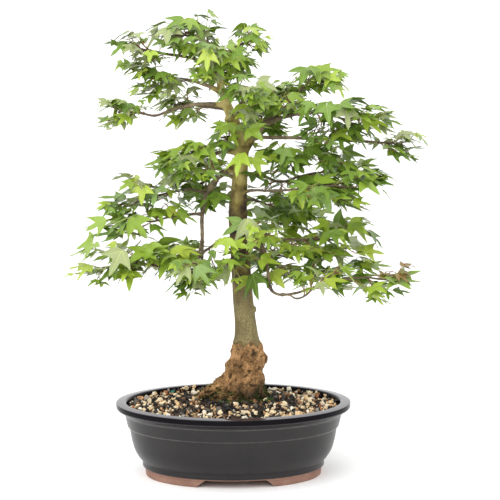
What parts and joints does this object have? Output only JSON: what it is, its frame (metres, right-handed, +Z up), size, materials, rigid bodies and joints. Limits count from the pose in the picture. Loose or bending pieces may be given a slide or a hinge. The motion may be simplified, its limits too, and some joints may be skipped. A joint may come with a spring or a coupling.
{
  "type": "potted bonsai tree",
  "caption": "Trident maple bonsai: tapering trunk with root flare, layered boughs and leaf masses, in an oval glazed pot of gravel on two clay feet.",
  "frame": {"origin": "on the ground under the middle of the whole plant's box, at the level of the undersides of the pot's feet", "axes": "+Z up along the trunk, X along the pot's long side, -Y towards the viewer of the picture"},
  "size_m": [0.4616, 0.2606, 0.5898],
  "materials": {
    "glazed_pot": "charcoal glaze, gloss, over a bare clay foot",
    "gravel": "mixed gravel, cream, tan, grey and black",
    "trunk_bark": "rough orange-brown bark at the foot, smooth olive grey above",
    "bough_bark": "smooth olive-brown bark",
    "leaf": "fresh green leaf, satin"
  },
  "bodies": {
    "root": {"pot": "glazed_pot", "gravel": "gravel", "trunk": "trunk_bark", "bough_fork_right": "bough_bark", "bough_right_reach": "bough_bark", "bough_long_right": "bough_bark", "bough_apex_right": "bough_bark", "bough_top_left": "bough_bark", "bough_upper_left": "bough_bark", "bough_finger_left": "bough_bark", "bough_mid_left": "bough_bark", "bough_arch_left": "bough_bark", "bough_strut_left": "bough_bark", "bough_strut_front": "bough_bark", "bough_side_left": "bough_bark", "bough_side_top": "bough_bark", "bough_mid_right": "bough_bark", "bough_cross_front": "bough_bark", "bough_low_right": "bough_bark", "bough_spur_right": "bough_bark", "bough_drop_right": "bough_bark", "bough_run_right": "bough_bark", "bough_run_front": "bough_bark", "bough_dark_right": "bough_bark", "bough_back_low": "bough_bark", "bough_back_low_left": "bough_bark", "bough_back_right": "bough_bark", "bough_back_left": "bough_bark", "bough_back_top": "bough_bark", "leaves_crown_top": "leaf", "leaves_top_left": "leaf", "leaves_apex_right": "leaf", "leaves_top_front": "leaf", "leaves_top_back": "leaf", "leaves_upper_left": "leaf", "leaves_upper_right": "leaf", "leaves_right_tip": "leaf", "leaves_upper_front": "leaf", "leaves_upper_back": "leaf", "leaves_far_right": "leaf", "leaves_finger_left": "leaf", "leaves_finger_back": "leaf", "leaves_mid_left": "leaf", "leaves_mid_right": "leaf", "leaves_mid_right_front": "leaf", "leaves_mid_left_back": "leaf", "leaves_mid_right_back": "leaf", "leaves_side_left": "leaf", "leaves_side_left_top": "leaf", "leaves_front_low": "leaf", "leaves_low_left": "leaf", "leaves_low_left_front": "leaf", "leaves_low_left_back": "leaf", "leaves_low_right": "leaf", "leaves_low_right_back": "leaf", "leaves_low_right_tip": "leaf", "leaves_low_right_front": "leaf", "leaves_low_back": "leaf", "leaves_front_twigs": "leaf", "leaves_neck_left": "leaf"}
  },
  "joints": []
}
